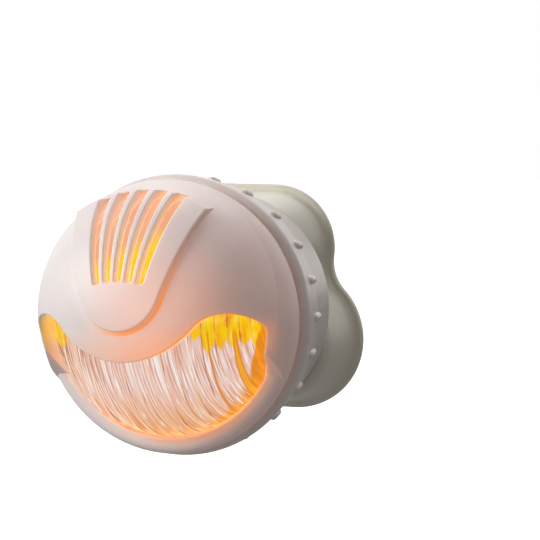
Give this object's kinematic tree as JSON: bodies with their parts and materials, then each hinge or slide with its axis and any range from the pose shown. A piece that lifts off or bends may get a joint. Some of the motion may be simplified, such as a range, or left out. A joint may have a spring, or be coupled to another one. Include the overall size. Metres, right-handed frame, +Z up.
{
  "type": "plug-in night light",
  "caption": "Plug-in night light: a round shade with a slotted hood and a fluted lens over a small lamp, turning on its plug body.",
  "frame": {"origin": "on the shade's axis, in the plane of the plug's rear face that meets the wall outlet", "axes": "+Y into the wall along the pins, +X to the right seen from the front, +Z up"},
  "size_m": [0.0514, 0.0838, 0.0514],
  "materials": {
    "plug_plastic": "moulded, satin gloss",
    "base_plastic": "moulded, fine matt",
    "screw_steel": "zinc plated",
    "brass_pin": "machined, bright",
    "sleeve_plastic": "moulded",
    "contact_brass": "pressed strip",
    "holder_plastic": "moulded",
    "solder": "solder",
    "cone_glass": "dark fused glass",
    "cap_metal": "pressed, plated",
    "lamp_glass": "clear, smooth",
    "stem_glass": "clear, smooth",
    "filament": "drawn wire, glowing",
    "spring_steel": "rolled",
    "cup_plastic": "translucent, satin",
    "ring_plastic": "moulded, satin gloss",
    "hood_plastic": "translucent pearl, satin gloss",
    "lens_plastic": "clear, fluted",
    "amber_plastic": "transparent amber",
    "clamp_plastic": "moulded"
  },
  "bodies": {
    "plug": {"plug_shell": "plug_plastic", "plug_base": "base_plastic", "base_screws": "screw_steel", "line_pin": "brass_pin", "neutral_pin": "brass_pin", "pin_sleeves": "sleeve_plastic", "earth_pin": "base_plastic", "line_strip": "contact_brass", "neutral_strip": "contact_brass", "centre_contact": "contact_brass", "lamp_holder": "holder_plastic", "holder_sleeve": "contact_brass", "lamp_contact": "solder", "lamp_insulator": "cone_glass", "lamp_cap": "cap_metal", "lamp_glass": "lamp_glass", "lamp_stem": "stem_glass", "lamp_filament": "filament", "turn_washer": "spring_steel", "neck_clip": "spring_steel"},
    "cup": {"shade_cup": "cup_plastic", "grip_ring": "ring_plastic"},
    "hood": {"hood": "hood_plastic", "lens": "lens_plastic", "amber_filter": "amber_plastic", "lens_clamp": "clamp_plastic"}
  },
  "joints": [
    {"name": "shade_turn", "type": "hinge", "parent": "plug", "child": "cup", "pos_m": [0, -0.0145, 0], "axis": [0, -1, 0], "continuous": true},
    {"name": "hood_twist", "type": "hinge", "parent": "cup", "child": "hood", "pos_m": [0, -0.0345, 0], "axis": [0, -1, 0], "range_deg": [0, 24]}
  ]
}
